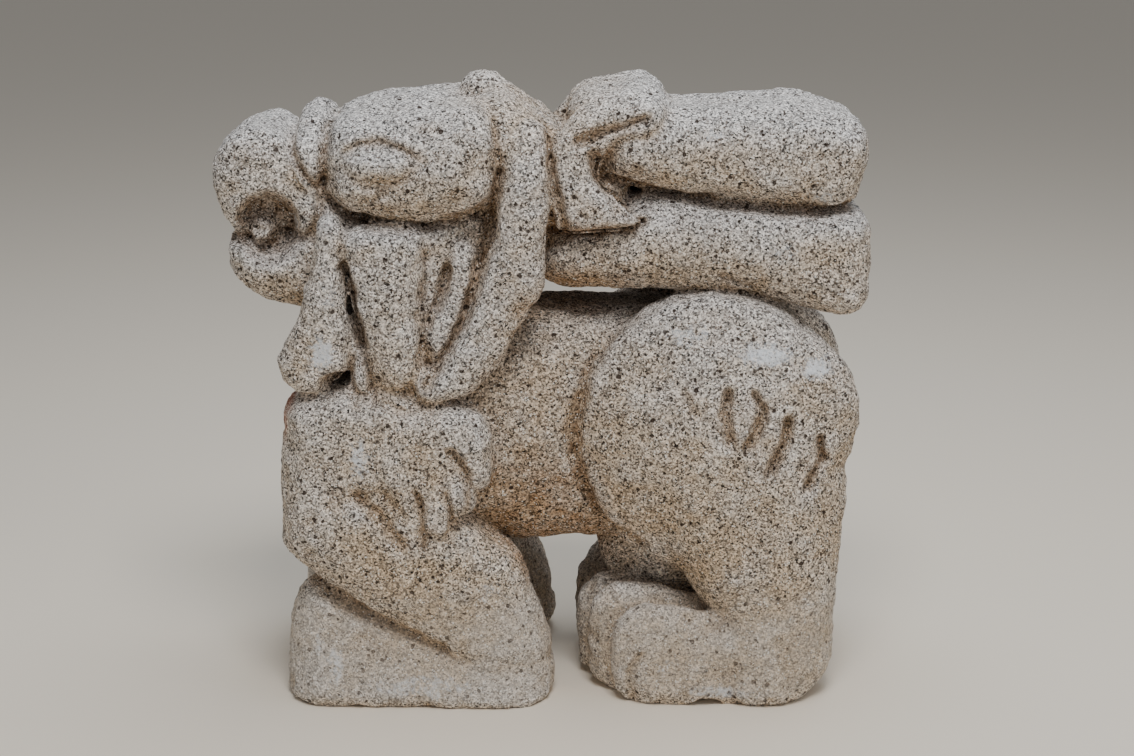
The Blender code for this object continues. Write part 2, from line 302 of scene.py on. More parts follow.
@dataclass(frozen=True)
class ForeLeg:
    """The shoulder, the folded shin and the long wedge of the foot."""

    grooves: tuple[Groove, ...] = (
        Groove(7.0, 4.0, 30, ((-138, 80), (-121, 65), (-106, 54), (-84, 44))),
        Groove(5.0, 3.0, 30, ((-84, 44), (-70, 38), (-52, 30))),
    )
    dents: tuple[Dent, ...] = (Dent(-86, 33, 30, 14, 1.6), Dent(-48, 62, 22, 16, -1.2))

    def rough_out(self, mason: Mason) -> None:
        """Adds the masses of the fore legs and of the stone left between them."""
        chest = Ball(-110, 42, 112, 26, 28, 26)
        mason.wrap(
            Ball(-114, 40, 148, 19, 25, 16), chest, Ball(-84, 40, 150, 30, 28, 20), Ball(-66, 44, 130, 30, 25, 34)
        )
        mason.wrap(
            Ball(-106, 46, 88, 29, 27, 22),
            Ball(-92, 46, 100, 36, 27, 24),
            Ball(-36, 46, 67, 25, 25, 19),
            Ball(-27, 47, 27, 31, 26, 26),
        )
        mason.wrap(chest, Ball(-107, 46, 88, 28, 27, 22))
        mason.wrap(
            Ball(-109, 42, 38, 24, 21, 27),
            Ball(-112, 50, 7, 22, 26, 12),
            Ball(-109, 44, 22, 25, 24, 20),
            Ball(-24, 46, 14, 30, 27, 20),
            Ball(-24, 53, 5, 28, 26, 11),
        )
        mason.span(Ball(-88, 10, 76, 40, 22, 48))


@dataclass(frozen=True)
class Hand:
    """The hand laid on the chest, with its fingers hanging."""

    grooves: tuple[Groove, ...] = (
        Groove(5.0, 4.8, 40, ((-94, 112), (-86, 105), (-79, 97), (-71, 86))),
        Groove(2.9, 5.4, 40, ((-64, 115), (-61, 106), (-61, 86))),
        Groove(2.7, 5.2, 40, ((-49, 115), (-47, 107), (-46, 98))),
        Groove(3.1, 5.8, 40, ((-46, 136), (-40, 127), (-38, 118), (-39, 104))),
        Groove(3.4, 3.0, 40, ((-97, 164), (-84, 162), (-70, 155))),
    )
    dents: tuple[Dent, ...] = (Dent(-78, 104, 9, 12, 1.6), Dent(-106, 122, 16, 20, 1.2), Dent(-50, 126, 12, 10, 0.8))

    def rough_out(self, mason: Mason) -> None:
        """Adds the masses of the hands and of their fingers."""
        mason.wrap(
            Ball(-86, 50, 142, 22, 19, 18),
            Ball(-46, 55, 146, 15, 16, 12),
            Ball(-39, 56, 134, 12, 15, 14),
            Ball(-70, 56, 117, 16, 16, 12),
            Ball(-46, 57, 118, 10, 15, 10),
        )
        mason.wrap(
            Ball(-71, 57, 118, 12, 15, 10),
            Ball(-64, 61, 97, 7, 11, 7),
            Ball(-52, 61, 96, 6, 11, 7),
            Ball(-44, 58, 116, 8, 15, 10),
        )
        mason.limb(Ball(-42, 58, 118, 8, 15, 8), Ball(-41, 59, 108, 6, 13, 6))
        mason.limb(Ball(-35, 55, 140, 9, 16, 14), Ball(-34, 55, 122, 8, 14, 9))


@dataclass(frozen=True)
class Head:
    """The skull, the heavy brow, the almond eye, the rolled snout and the open nostril."""

    grooves: tuple[Groove, ...] = (
        Groove(3.0, 2.7, 40, ((-97, 286), (-91, 290), (-81, 292), (-68, 288), (-57, 282))),
        Groove(3.0, 0.8, 40, ((-98, 283), (-96, 275), (-88, 270))),
        Groove(3.0, 1.8, 40, ((-87, 270), (-76, 271), (-64, 277), (-57, 282))),
        Groove(2.6, 1.8, 40, ((-62, 277), (-76, 267), (-86, 263))),
        Groove(4.2, 7.0, 36, ((-107, 262), (-99, 253), (-80, 249), (-58, 248), (-36, 254), (-25, 262))),
        Groove(4.0, 7.0, 36, ((-25, 262), (-21, 276))),
        Groove(3.2, 3.5, 36, ((-21, 276), (-24, 300))),
        Groove(3.4, 5.0, 12, ((-124, 312), (-126, 296), (-124, 284), (-118, 274), (-112, 267))),
        Groove(3.4, 6.0, 12, ((-103, 312), (-107, 296), (-109, 284), (-110, 270), (-111, 256))),
        Groove(3.4, 4.0, 12, ((-127, 240), (-117, 242), (-112, 252))),
        Groove(4.5, 8.0, 0, ((-150, 239), (-172, 240))),
    )
    dents: tuple[Dent, ...] = (
        Dent(-138, 246, 19, 21, 18.0, 2.2),
        Dent(-143, 244, 10, 10, -11.0, 1.5),
        Dent(-80, 281, 16, 9, -1.6),
        Dent(-55, 297, 8, 4, 1.6),
        Dent(-109, 270, 4, 5, 5.0),
        Dent(-48, 278, 14, 18, -1.6),
    )

    def rough_out(self, mason: Mason) -> None:
        """Adds the masses of the head."""
        mason.span(Ball(-62, 24, 238, 44, 28, 30), Ball(-62, 24, 192, 42, 28, 32))
        mason.span(
            Ball(-95, 34, 289, 13, 24, 14),
            Ball(-88, 40, 272, 20, 24, 20),
            Ball(-50, 44, 277, 26, 23, 28),
            Ball(-36, 42, 287, 15, 22, 22),
            Ball(-36, 46, 268, 14, 18, 13),
            Ball(-60, 14, 289, 36, 26, 22),
        )
        mason.span(Ball(-24, 22, 280, 24, 34, 32), Ball(0, 20, 268, 18, 32, 28))
        mason.add_mass([(Ball(-30, 0, 311, 12, 14, 9), Side.NEAR)])
        mason.wrap(Ball(-86, 56, 279, 13, 10, 9), Ball(-74, 57, 279, 14, 10, 8))
        mason.span(Ball(-143, 35, 273, 23, 12, 23), Ball(-135, 35, 263, 29, 12, 27))
        mason.span(
            Ball(-136, 32, 231, 24, 14, 24), Ball(-121, 32, 224, 17, 14, 22), Ball(-112, 24, 240, 20, 20, 20)
        )
        mason.span(Ball(-126, 26, 256, 24, 20, 34), Ball(-98, 26, 262, 20, 22, 34))
        wrinkle = (Ball(-115, 26, 293, 9, 9, 9), Ball(-117, 42, 284, 9, 9, 9), Ball(-115, 44, 275, 8, 8, 9))
        mason.span(Ball(-115, 0, 296, 9, 9, 9), wrinkle[0])
        mason.limb(*wrinkle)


@dataclass(frozen=True)
class Jowls:
    """The hanging lip, the fang, the cheek flap and the sunken cheek behind it."""

    grooves: tuple[Groove, ...] = (
        Groove(4.0, 10.0, 38, ((-99, 229), (-96, 218), (-94, 202), (-91, 188))),
        Groove(3.0, 6.0, 30, ((-91, 188), (-88, 174), (-85, 160))),
        Groove(2.8, 4.0, 30, ((-96, 182), (-97, 172), (-94, 158))),
        Groove(3.2, 4.0, 30, ((-59, 234), (-60, 220), (-62, 204), (-61, 182))),
        Groove(3.8, 9.0, 30, ((-48, 227), (-50, 217), (-54, 207))),
        Groove(3.0, 3.5, 30, ((-54, 207), (-58, 198))),
        Groove(4.2, 7.0, 36, ((-23, 266), (-26, 250), (-29, 236), (-34, 217), (-40, 200), (-50, 182), (-58, 169))),
    )
    dents: tuple[Dent, ...] = (Dent(-104, 170, 10, 7, 10.0, 1.4),)

    def rough_out(self, mason: Mason) -> None:
        """Adds the masses on each side of the mouth."""
        flap = Ball(-79, 54, 212, 17, 14, 14)
        mason.limb(Ball(-106, 50, 244, 7, 12, 10), Ball(-108, 52, 224, 8, 12, 10), Ball(-110, 52, 204, 12, 13, 12))
        mason.wrap(
            Ball(-110, 52, 200, 13, 13, 12),
            Ball(-125, 50, 178, 9, 12, 11),
            Ball(-118, 51, 172, 12, 13, 9),
            Ball(-125, 50, 172, 8, 12, 8),
            Ball(-107, 52, 183, 10, 13, 12),
        )
        mason.limb(Ball(-91, 46, 200, 5, 9, 8), Ball(-90, 50, 172, 8, 11, 12))
        mason.wrap(Ball(-89, 50, 239, 11, 15, 11), Ball(-74, 52, 240, 14, 14, 11), flap)
        mason.wrap(flap, Ball(-74, 53, 182, 14, 13, 19))
        mason.wrap(Ball(-40, 46, 224, 9, 12, 20), Ball(-52, 46, 190, 10, 12, 14))
        mason.span(Ball(-104, 22, 190, 16, 22, 34))


@dataclass(frozen=True)
class Mane:
    """The lock that falls from the back of the skull and sweeps forward under the jaw."""

    grooves: tuple[Groove, ...] = ()
    dents: tuple[Dent, ...] = (Dent(-14, 205, 9, 7, 1.4), Dent(-8, 262, 8, 9, 1.0), Dent(-34, 192, 8, 6, 1.2))

    def rough_out(self, mason: Mason) -> None:
        """Adds the lock's masses."""
        bend = Ball(-11, 55, 242, 13, 13, 14)
        mason.limb(Ball(-8, 42, 286, 13, 13, 14), Ball(-9, 50, 268, 13, 14, 14), bend)
        mason.wrap(bend, Ball(-10, 56, 221, 12, 12, 12), Ball(-22, 55, 213, 14, 12, 12))
        mason.limb(
            Ball(-22, 55, 209, 15, 12, 12),
            Ball(-32, 55, 187, 13, 12, 12),
            Ball(-44, 54, 172, 13, 12, 10),
            Ball(-56, 54, 167, 10, 12, 9),
        )


@dataclass(frozen=True)
class Crest:
    """The two long blocks laid back over the body, and the strap and lobe in front of them."""

    grooves: tuple[Groove, ...] = (
        Groove(3.4, 6.0, 20, ((1, 303), (4, 280), (8, 262), (12, 246))),
        Groove(3.4, 8.0, 20, ((3, 244), (22, 245), (40, 247), (50, 249))),
        Groove(3.6, 7.0, 20, ((30, 271), (58, 264), (90, 257), (122, 254), (142, 254), (162, 259))),
        Groove(3.6, 5.0, 20, ((18, 291), (33, 296), (52, 302))),
        Groove(4.2, 7.0, 20, ((26, 283), (27, 275), (31, 267))),
        Groove(3.0, 3.0, 20, ((31, 267), (38, 256), (46, 250))),
        Groove(2.2, 3.2, 20, ((90, 223), (99, 219), (106, 217))),
    )
    dents: tuple[Dent, ...] = ()

    def rough_out(self, mason: Mason) -> None:
        """Adds the masses of the blocks, the strap and the lobe."""
        mason.span(
            Ball(50, 26, 284, 22, 24, 20),
            Ball(130, 27, 285, 22, 25, 22),
            Ball(151, 30, 287, 14, 20, 14),
            Ball(148, 31, 267, 12, 19, 12),
        )
        middle = Ball(112, 26, 235, 26, 27, 25)
        mason.bridge(Ball(18, 18, 229, 24, 27, 18), Ball(58, 24, 237, 30, 27, 25), middle)
        mason.span(middle, Ball(153, 30, 242, 13, 22, 12), Ball(152, 30, 214, 14, 22, 15))
        mason.span(Ball(8, 18, 262, 20, 26, 30), Ball(24, 18, 262, 20, 26, 30))
        mason.span(Ball(28, 28, 299, 15, 22, 14), Ball(49, 28, 301, 15, 24, 15))
        strap = Ball(14, 46, 266, 12, 11, 16)
        mason.limb(Ball(27, 40, 298, 14, 13, 12), Ball(17, 43, 285, 13, 12, 14), strap)
        mason.wrap(Ball(16, 47, 266, 12, 9, 12), Ball(14, 47, 251, 8, 9, 7), Ball(43, 49, 249, 6, 7, 3))


Form = Torso | HindLeg | ForeLeg | Hand | Head | Jowls | Mane | Crest


class Skin:
    """The places and normals of a piece's vertices, in drawn millimetres, and what is worked out from them."""

    def __init__(self, piece: bpy.types.Object, block: Block) -> None:
        """Reads the piece's mesh."""
        self.mesh = piece.data
        self.block = block
        count = len(self.mesh.vertices)
        places = np.empty(count * 3)
        normals = np.empty(count * 3)
        self.mesh.vertices.foreach_get("co", places)
        self.mesh.vertices.foreach_get("normal", normals)
        self.places = places.reshape(-1, 3) / block.scale()
        self.normals = normals.reshape(-1, 3)
        ends = np.empty(len(self.mesh.edges) * 2, dtype=np.int64)
        self.mesh.edges.foreach_get("vertices", ends)
        self.ends = ends.reshape(-1, 2)

    @property
    def x(self) -> np.ndarray:
        """How far each vertex is along the beast."""
        return self.places[:, 0]

    @property
    def z(self) -> np.ndarray:
        """How high each vertex is."""
        return self.places[:, 2]

    @property
    def side(self) -> np.ndarray:
        """The sign of y on each vertex's side."""
        return np.where(self.places[:, 1] < 0.0, Side.NEAR.value, Side.FAR.value)

    @property
    def out(self) -> np.ndarray:
        """How far each vertex is from the middle plane."""
        return np.abs(self.places[:, 1])

    def write(self) -> None:
        """Puts the places back in the mesh."""
        self.mesh.vertices.foreach_set("co", (self.places * self.block.scale()).ravel())
        self.mesh.update()

    def way_from_line(self, points: Sequence[Point]) -> np.ndarray:
        """How far each vertex is, seen from the side, from a line.

        Args:
            points: The line's (x, z) points.

        Returns:
            The distances, in drawn millimetres.
        """
        nearest = np.full(len(self.places), np.inf)
        for (x0, z0), (x1, z1) in zip(points, points[1:]):
            run_x, run_z = x1 - x0, z1 - z0
            share = ((self.x - x0) * run_x + (self.z - z0) * run_z) / (run_x**2 + run_z**2)
            share = np.clip(share, 0.0, 1.0)
            way = np.hypot(self.x - x0 - share * run_x, self.z - z0 - share * run_z)
            nearest = np.minimum(nearest, way)
        return nearest

    def spread(self, values: np.ndarray, rounds: int) -> np.ndarray:
        """Averages values over the skin, each round with the next vertices.

        Args:
            values: A number or a row of numbers for each vertex.
            rounds: How many times to average.

        Returns:
            The averaged values.
        """
        first, second = self.ends[:, 0], self.ends[:, 1]
        count = len(self.places)
        neighbours = np.bincount(first, minlength=count) + np.bincount(second, minlength=count)
        spread = values.reshape(count, -1).copy()
        for _ in range(rounds):
            for column in range(spread.shape[1]):
                total = np.bincount(first, weights=spread[second, column], minlength=count)
                total += np.bincount(second, weights=spread[first, column], minlength=count)
                spread[:, column] = total / neighbours
        return spread.reshape(values.shape)

    def hollowness(self, rounds: int) -> np.ndarray:
        """How far each vertex lies under the smoothed skin, positive in hollows, in millimetres."""
        return np.sum((self.spread(self.places, rounds) - self.places) * self.normals, axis=1)

    def store(self, name: str, values: np.ndarray) -> None:
        """Keeps values as an attribute of the mesh.

        Args:
            name: The attribute's name.
            values: A number for each vertex.
        """
        attribute = self.mesh.attributes.new(name, "FLOAT", "POINT")
        attribute.data.foreach_set("value", np.clip(values, 0.0, 1.0).astype(np.float32))


def bowl(way: np.ndarray) -> np.ndarray:
    """A smooth hollow: one where the way is nothing, and nothing where it is one or more."""
    return (1.0 - np.clip(way, 0.0, 1.0) ** 2) ** 2


@dataclass(frozen=True)
class Layer:
    """One layer of unevenness: how high it is and how far its bumps are apart, in millimetres."""

    height: float
    spacing: float


@dataclass(frozen=True)
class Hollows:
    """Small round hollows spread by chance: how many, their least and greatest radius, and their depth."""

    count: int
    least: float
    greatest: float
    depth: float


@dataclass(frozen=True)
class Wear:
    """How the carved stone is weathered: its uneven skin, the chips off its edges, and its open pits."""

    layers: tuple[Layer, ...] = (Layer(3.8, 28.0), Layer(2.3, 11.0), Layer(1.5, 4.2))
    chips: Hollows = Hollows(130, 3.0, 7.5, 1.7)
    pits: Hollows = Hollows(330, 1.2, 2.3, 1.8)
    small_pits: Hollows = Hollows(240, 1.0, 1.7, 1.4)
    edge_share: float = 0.15
    pits_from: float = 185.0
    small_pits_from: float = 55.0
    cloud_depth: int = 2
    edge_rounds: int = 60
    cut_rounds: int = 20
    cut_guard: float = 2.0
    seed: int = 11

    def roughen(self, piece: bpy.types.Object) -> None:
        """Makes the skin uneven, as a hand and the weather leave it."""
        for layer in self.layers:
            clouds = bpy.data.textures.new("weather", "CLOUDS")
            clouds.noise_scale = layer.spacing * MM
            clouds.noise_depth = self.cloud_depth
            apply_modifier(
                piece, "DISPLACE", texture=clouds, texture_coords="LOCAL", strength=layer.height * MM, mid_level=0.5
            )

    def sink(self, skin: Skin, hollows: Hollows, places: np.ndarray) -> np.ndarray:
        """Sinks hollows at places taken by chance.

        Args:
            skin: The skin to sink them in.
            hollows: How many there are and how large.
            places: The numbers of the vertices that a hollow may be centred on.

        Returns:
            How much of a hollow each vertex is in, from 0 to 1.
        """
        chance = np.random.default_rng(self.seed)
        chosen = chance.choice(places, hollows.count, replace=False)
        radii = chance.uniform(hollows.least, hollows.greatest, hollows.count)
        sunk = np.zeros(len(skin.places))
        for vertex, radius in zip(chosen, radii):
            away = skin.places - skin.places[vertex]
            close = np.flatnonzero(np.abs(away).max(axis=1) < radius)
            share = np.linalg.norm(away[close], axis=1) / radius
            sunk[close] = np.maximum(sunk[close], bowl(share))
        skin.places -= skin.normals * (sunk * hollows.depth)[:, None]
        return sunk

    def chip(self, skin: Skin, cuts: np.ndarray) -> None:
        """Chips the sharpest edges of the skin, away from the cuts.

        Args:
            skin: The skin to chip.
            cuts: How deep each vertex was cut.
        """
        sharpness = skin.hollowness(self.edge_rounds) + self.cut_guard * skin.spread(cuts, self.cut_rounds)
        edges = np.argsort(sharpness)[: int(self.edge_share * len(skin.places))]
        self.sink(skin, self.chips, edges)

    def pit(self, skin: Skin) -> np.ndarray:
        """Sinks the open pits in the head and blocks and smaller ones in the body.

        Args:
            skin: The skin to pit.

        Returns:
            How much of a pit each vertex is in.
        """
        high = skin.z > self.pits_from
        body = (skin.z > self.small_pits_from) & ~high
        pitted = self.sink(skin, self.pits, np.flatnonzero(high))
        return np.maximum(pitted, self.sink(skin, self.small_pits, np.flatnonzero(body)))


@dataclass(frozen=True)
class Patch:
    """A patch of lime or rust, in drawn millimetres, and how strong it is."""

    x: float
    z: float
    rx: float
    rz: float
    strength: float = 1.0


@dataclass(frozen=True)
class Beast:
    """The whole carving: its forms are joined under one skin, cut and weathered, and given its staining and its
    painted light and shade.
    """

    block: Block
    forms: Sequence[Form]
    wear: Wear
    skin_step: float = 1.35
    rubbing_down: int = 3
    most_triangles: int = 192_000
    ground_margin: float = 40.0
    sole_notch: Ball = Ball(84, 66, 0, 9, 16, 4)
    rust_patches: tuple[Patch, ...] = (Patch(-131, 160, 4, 7), Patch(-133, 148, 3, 10, 0.6))
    lime_patches: tuple[Patch, ...] = (
        Patch(-110, 186, 8, 12),
        Patch(-124, 248, 6, 5, 0.7),
        Patch(-105, 215, 5, 16, 0.5),
        Patch(112, 186, 16, 7),
        Patch(138, 178, 11, 7),
        Patch(72, 196, 16, 9, 0.6),
        Patch(-92, 132, 7, 13, 0.8),
        Patch(-107, 22, 5, 13, 0.9),
        Patch(-116, 32, 5, 9, 0.6),
        Patch(-60, 12, 34, 8, 0.75),
        Patch(92, 8, 22, 5, 0.8),
        Patch(62, 22, 9, 8, 0.5),
        Patch(-26, 62, 7, 8, 0.6),
        Patch(84, 292, 9, 6, 0.5),
        Patch(120, 236, 12, 7, 0.4),
        Patch(140, 262, 9, 7, 0.5),
    )

    def build(self) -> bpy.types.Object:
        """Builds the carving.

        Returns:
            The finished piece, without its material.
        """
        mason = Mason(self.block)
        for form in self.forms:
            form.rough_out(mason)
        piece = mason.joined("beast_of_stone")
        apply_modifier(piece, "REMESH", mode="VOXEL", voxel_size=self.skin_step * MM)
        apply_modifier(piece, "SMOOTH", iterations=self.rubbing_down)
        cuts = self.cut(piece)
        self.wear.roughen(piece)
        self.finish(piece, cuts)
        self.fit_and_flatten(piece)
        bpy.ops.object.shade_smooth()
        return piece

    def cut(self, piece: bpy.types.Object) -> np.ndarray:
        """Cuts the grooves and hollows of every form.

        Args:
            piece: The object to cut.

        Returns:
            How deep each vertex was cut, in drawn millimetres.
        """
        skin = Skin(piece, self.block)
        turned_out = np.clip(skin.normals[:, 1] * skin.side * 2.5, 0.0, 1.0)
        depth = np.zeros(len(skin.places))
        for form in self.forms:
            for groove in form.grooves:
                cut = groove.depth * bowl(skin.way_from_line(groove.points) / groove.half_width)
                depth = np.maximum(depth, np.clip(cut, 0.0, np.clip(skin.out - groove.floor, 0.0, None)))
        for form in self.forms:
            for dent in form.dents:
                way = np.hypot((skin.x - dent.x) / dent.rx, (skin.z - dent.z) / dent.rz)
                depth += dent.depth * np.clip(dent.steep * bowl(way), 0.0, 1.0)
        depth *= turned_out
        skin.places[:, 1] -= skin.side * depth
        skin.write()
        return depth

    def finish(self, piece: bpy.types.Object, cuts: np.ndarray) -> None:
        """Chips and pits the skin, and stores where the stone is rusted, limed and dusty, and where its colour
        carries ochre staining, painted shade, painted cool top light and painted highlights.

        Args:
            piece: The object to finish.
            cuts: How deep each vertex was cut.
        """
        skin = Skin(piece, self.block)
        self.wear.chip(skin, cuts)
        pitted = self.wear.pit(skin)
        hollow = skin.hollowness(30)
        under = np.clip(-skin.normals[:, 2], 0.0, 1.0)
        along_belly = bowl(np.abs(skin.x - 5) / 62) * bowl(np.clip(100 - skin.z, 0, None) / 60)
        low_flank = np.clip((138 - skin.z) / 62, 0.0, 1.0) * bowl(np.abs(skin.x + 2) / 55)
        inner = np.clip((62 - skin.out) / 12, 0.0, 1.0)
        # Painted shade with warm bounce light: ochre that grows towards the bottom of the body's side and on
        # down-facing faces under the body.
        belly_shade = np.clip(low_flank * inner * (skin.z > 60) + under * along_belly, 0.0, 1.0)
        # Painted shade on the recessed side of the body between shoulder and haunch: it darkens the colour there and
        # holds back the painted cool top light.
        shaded_flank = bowl(np.abs(skin.x + 2) / 62) * inner * (skin.z > 110)
        # Partly real ochre staining and partly painted shade: darker in the chisel cuts and in hollows where shade
        # falls, on faces that turn sideways or down, and on the recessed side of the body.
        stain_and_shade = np.clip(cuts / 9, 0.0, 0.6) + np.clip(hollow / 2.4, 0.0, 0.6)
        slope = skin.normals[:, 2]
        stain_and_shade += 0.4 * np.clip(0.2 - slope, 0.0, 1.0) * (skin.z > 60) + 0.3 * shaded_flank
        # Painted cool top light: upward faces higher on the body turn a cooler, more neutral grey, less so on the
        # recessed side, and the painted shade is weaker there.
        painted_top_light = np.clip(0.32 + 0.9 * slope, 0.0, 0.9) * np.clip(0.3 + (skin.z - 110) / 190, 0.0, 1.0)
        painted_top_light *= 1.0 - 0.7 * shaded_flank
        stain_and_shade *= 1.0 - 0.4 * painted_top_light
        skin.store("painted_top_light", self.smooth(skin, painted_top_light, 4))
        skin.store("stain_and_shade", self.smooth(skin, stain_and_shade, 5))
        skin.store("belly_shade", self.smooth(skin, belly_shade, 4))
        skin.store("rust", self.patched(skin, self.rust_patches) * (skin.places[:, 1] < 0))
        # Painted highlight: convex ridges, where the skin stands above its smoothed shape, turn paler.
        skin.store("edge", self.smooth(skin, -hollow / 2.0, 1))
        # Painted shade: the open pits are coloured near-black.
        skin.store("pit", pitted)
        feet = np.clip((70 - skin.z) / 26, 0.0, 1.0) * (1.0 - np.clip(under * 2, 0.0, 1.0))
        skin.store("dust", self.smooth(skin, feet, 4))
        skin.store("lime", self.patched(skin, self.lime_patches) * (skin.out > 30))
        skin.write()

    def patched(self, skin: Skin, patches: Sequence[Patch]) -> np.ndarray:
        """How much each vertex is covered by patches, from 0 to 1.

        Args:
            skin: The skin that is patched.
            patches: The patches.

        Returns:
            The strongest patch at each vertex.
        """
        cover = np.zeros(len(skin.places))
        for patch in patches:
            way = np.hypot((skin.x - patch.x) / patch.rx, (skin.z - patch.z) / patch.rz)
            cover = np.maximum(cover, patch.strength * bowl(way / 1.5))
        return cover

    def smooth(self, skin: Skin, values: np.ndarray, rounds: int) -> np.ndarray:
        """Values held between 0 and 1, and spread a little over the skin."""
        return skin.spread(np.clip(values, 0.0, 1.0), rounds)

    def fit_and_flatten(self, piece: bpy.types.Object) -> None:
        """Thins the mesh, fits it to the block, and cuts the soles flat on the ground."""
        triangles = 2 * len(piece.data.polygons)
        if triangles > self.most_triangles:
            apply_modifier(piece, "DECIMATE", ratio=self.most_triangles / triangles)
        skin = Skin(piece, self.block)
        low, high = skin.places.min(axis=0), skin.places.max(axis=0)
        drawn = (self.block.drawn_length, self.block.drawn_width, self.block.drawn_height)
        for axis in range(2):
            middle = (low[axis] + high[axis]) / 2
            skin.places[:, axis] = (skin.places[:, axis] - middle) * drawn[axis] / (high[axis] - low[axis])
        skin.places[:, 2] *= drawn[2] / high[2]
        skin.write()
        for cutter in (self.ground(), self.notches()):
            apply_modifier(piece, "BOOLEAN", operation="DIFFERENCE", solver="EXACT", object=cutter)
            bpy.data.objects.remove(cutter)

    def ground(self) -> bpy.types.Object:
        """A box of all that is under the ground."""
        scale = self.block.scale()
        margin = self.ground_margin
        deselect_all()
        bpy.ops.mesh.primitive_cube_add(size=1.0, location=(0.0, 0.0, -margin / 2 * scale[2]))
        cutter = bpy.context.active_object
        cutter.scale = (
            (self.block.drawn_length + margin) * scale[0],
            (self.block.drawn_width + margin) * scale[1],
            margin * scale[2],
        )
        bpy.ops.object.transform_apply(location=False, rotation=False, scale=True)
        return cutter

    def notches(self) -> bpy.types.Object:
        """The two small balls that notch the hind soles."""
        mason = Mason(self.block)
        for side in Side:
            mason.add_mass([(self.sole_notch, side)])
        return mason.joined("sole_notches")


class Nodes:
    """Adds and links the nodes of one material or node group."""

    def __init__(self, tree: bpy.types.NodeTree) -> None:
        """Takes the tree to work in."""
        self.tree = tree

    def add(self, kind: str, **settings: object) -> bpy.types.Node:
        """Adds a node.

        Args:
            kind: The node's type.
            **settings: Values for the node's own settings.

        Returns:
            The node.
        """
        node = self.tree.nodes.new(kind)
        for name, value in settings.items():
            setattr(node, name, value)
        return node

    def set(self, socket: bpy.types.NodeSocket, value: object) -> None:
        """Links a socket to another, or gives it a plain value."""
        if isinstance(value, bpy.types.NodeSocket):
            self.tree.links.new(value, socket)
        else:
            socket.default_value = value

    def math(self, operation: str, first: object, second: object = 0.0, clamp: bool = False) -> bpy.types.NodeSocket:
        """Works out a number from one or two others.

        Args:
            operation: The Math node's operation.
            first: A socket or a number.
            second: A socket or a number.
            clamp: Whether the result is held between 0 and 1.

        Returns:
            The socket of the result.
        """
        node = self.add("ShaderNodeMath", operation=operation, use_clamp=clamp)
        self.set(node.inputs[0], first)
        self.set(node.inputs[1], second)
        return node.outputs[0]

    def mix(self, share: object, first: object, second: object, blend: str = "MIX") -> bpy.types.NodeSocket:
        """Mixes two colours.

        Args:
            share: How much of the second colour there is.
            first: A socket or a colour.
            second: A socket or a colour.
            blend: How the second colour acts on the first.

        Returns:
            The socket of the mixed colour.
        """
        node = self.add("ShaderNodeMix", data_type="RGBA", blend_type=blend)
        self.set(node.inputs["Factor"], share)
        self.set(node.inputs[6], first)
        self.set(node.inputs[7], second)
        return node.outputs[2]

    def noise(self, place: object, size: float, detail: float = 3.0, roughness: float = 0.55) -> bpy.types.NodeSocket:
        """Cloudy noise.

        Args:
            place: The socket of the coordinates.
            size: The size of its clouds, in metres.
            detail: How many finer layers it has.
            roughness: How strong the finer layers are.

        Returns:
            The socket of a number from 0 to 1.
        """
        node = self.add("ShaderNodeTexNoise")
        self.set(node.inputs["Vector"], place)
        node.inputs["Scale"].default_value = 1.0 / size
        node.inputs["Detail"].default_value = detail
        node.inputs["Roughness"].default_value = roughness
        return node.outputs["Fac"]

    def ramp(self, value: object, low: float, high: float) -> bpy.types.NodeSocket:
        """Stretches the stretch of a number between low and high to 0 to 1.

        Args:
            value: The socket of the number.
            low: What becomes 0.
            high: What becomes 1.

        Returns:
            The socket of the stretched number.
        """
        node = self.add("ShaderNodeMapRange", interpolation_type="SMOOTHSTEP")
        self.set(node.inputs["Value"], value)
        node.inputs["From Min"].default_value = low
        node.inputs["From Max"].default_value = high
        return node.outputs["Result"]

    def attribute(self, name: str) -> bpy.types.NodeSocket:
        """The number that a mesh keeps for each vertex under a name."""
        return self.add("ShaderNodeAttribute", attribute_name=name).outputs["Fac"]


def colour(red: int, green: int, blue: int) -> Colour:
    """A colour named by its screen values from 0 to 255, as the shader takes it."""
    linear = [(c / 255 / 12.92) if c <= 10 else ((c / 255 + 0.055) / 1.055) ** 2.4 for c in (red, green, blue)]
    return (linear[0], linear[1], linear[2], 1.0)


